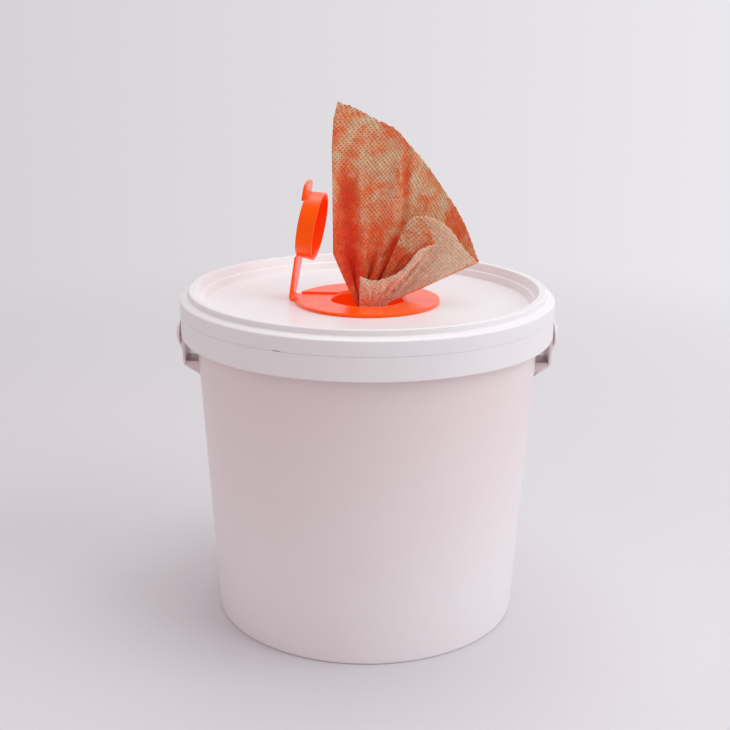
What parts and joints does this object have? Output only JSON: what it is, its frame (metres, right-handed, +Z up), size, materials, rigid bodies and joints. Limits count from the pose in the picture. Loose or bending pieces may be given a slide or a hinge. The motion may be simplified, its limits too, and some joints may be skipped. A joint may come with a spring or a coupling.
{
  "type": "hand wipes canister",
  "caption": "White plastic pail with snap-fit lid, orange centre-pull dispenser with open flip cap, carrying bail, and a textured wipe standing out of it",
  "frame": {"origin": "centre of the base, on the surface the pail stands on", "axes": "+Z up, the pictured front faces -Y, the open flip cap stands on the -X side"},
  "size_m": [0.2316, 0.224, 0.3106],
  "materials": {
    "white_plastic": "smooth moulded polypropylene, soft gloss",
    "orange_plastic": "smooth glossy moulded polypropylene",
    "roll_cloth": "moist nonwoven, wound edges",
    "wipe_cloth": "nonwoven with a mottled orange face, small raised dots and a pale reverse"
  },
  "bodies": {
    "pail": {"bucket": "white_plastic", "wipe_roll": "roll_cloth"},
    "lid_unit": {"lid": "white_plastic", "dispenser": "orange_plastic", "wipe": "wipe_cloth"},
    "cap": {"flip_cap": "orange_plastic"},
    "handle": {"bail": "white_plastic"}
  },
  "joints": [
    {"name": "lid_lift", "type": "slide", "parent": "pail", "child": "lid_unit", "axis": [0, 0, 1], "range_m": [0, 0.06]},
    {"name": "cap_hinge", "type": "hinge", "parent": "lid_unit", "child": "cap", "pos_m": [-0.04487, 0.00695, 0.1941], "axis": [-0.153, -0.9882, 0], "range_deg": [-80.2, 9.8], "deforming": ["wipe"]},
    {"name": "bail_swing", "type": "hinge", "parent": "pail", "child": "handle", "pos_m": [0, 0, 0.1734], "axis": [1, 0, 0], "range_deg": [0, 252], "deforming": ["wipe"]}
  ]
}
